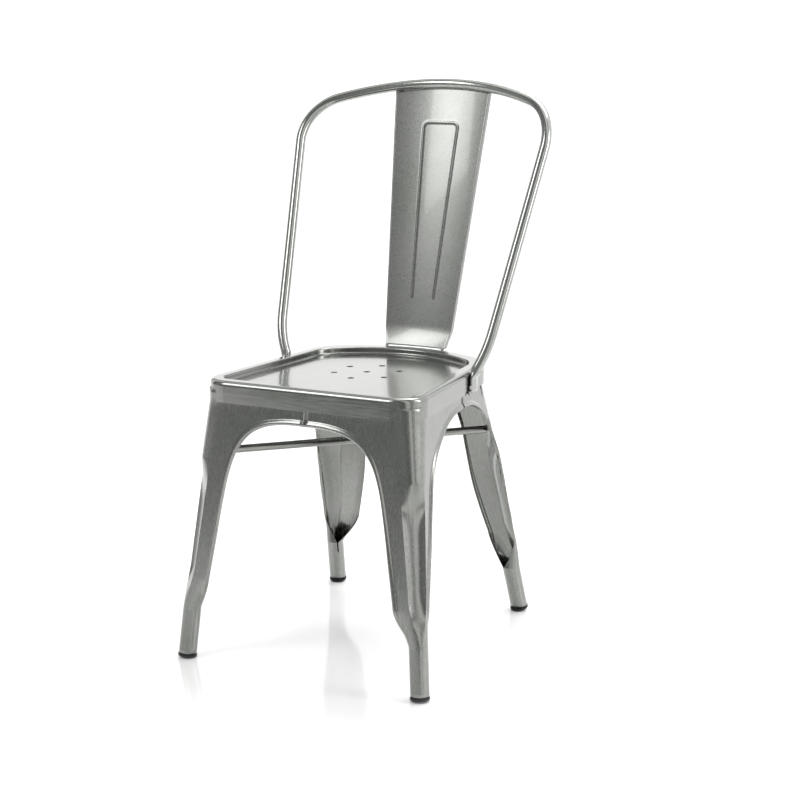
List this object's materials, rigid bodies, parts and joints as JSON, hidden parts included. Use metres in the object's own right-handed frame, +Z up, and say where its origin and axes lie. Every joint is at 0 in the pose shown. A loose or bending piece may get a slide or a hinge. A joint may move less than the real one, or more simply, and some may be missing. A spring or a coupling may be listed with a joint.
{
  "type": "stacking chair",
  "caption": "Welded sheet-steel stacking side chair: dished seat pan, fluted flared legs, bent tube back hoop, central back splat and rubber feet.",
  "frame": {"origin": "on the floor, under the middle of the chair's bounding box", "axes": "+Z up, the front of the chair faces -Y, +X is to the right of someone looking at the front"},
  "size_m": [0.4466, 0.5171, 0.85],
  "materials": {
    "seat_steel": "brushed steel sheet under clear lacquer",
    "leg_steel": "pressed steel sheet under clear lacquer",
    "tube_steel": "polished steel tube under clear lacquer",
    "splat_steel": "brushed steel sheet under clear lacquer",
    "brace_steel": "steel tube under clear lacquer",
    "weld_steel": "ground weld metal under clear lacquer",
    "foot_rubber": "moulded black rubber"
  },
  "bodies": {
    "root": {"seat_pan": "seat_steel", "leg_front_left": "leg_steel", "leg_front_right": "leg_steel", "leg_rear_left": "leg_steel", "leg_rear_right": "leg_steel", "back_hoop": "tube_steel", "back_splat": "splat_steel", "brace_lower": "brace_steel", "brace_upper": "brace_steel", "foot_plug_front_left": "foot_rubber", "foot_plug_front_right": "foot_rubber", "foot_plug_rear_left": "foot_rubber", "foot_plug_rear_right": "foot_rubber", "brace_end_welds": "weld_steel", "brace_cross_weld": "weld_steel", "hoop_end_welds": "weld_steel", "splat_foot_welds": "weld_steel", "splat_top_welds": "weld_steel"}
  },
  "joints": []
}
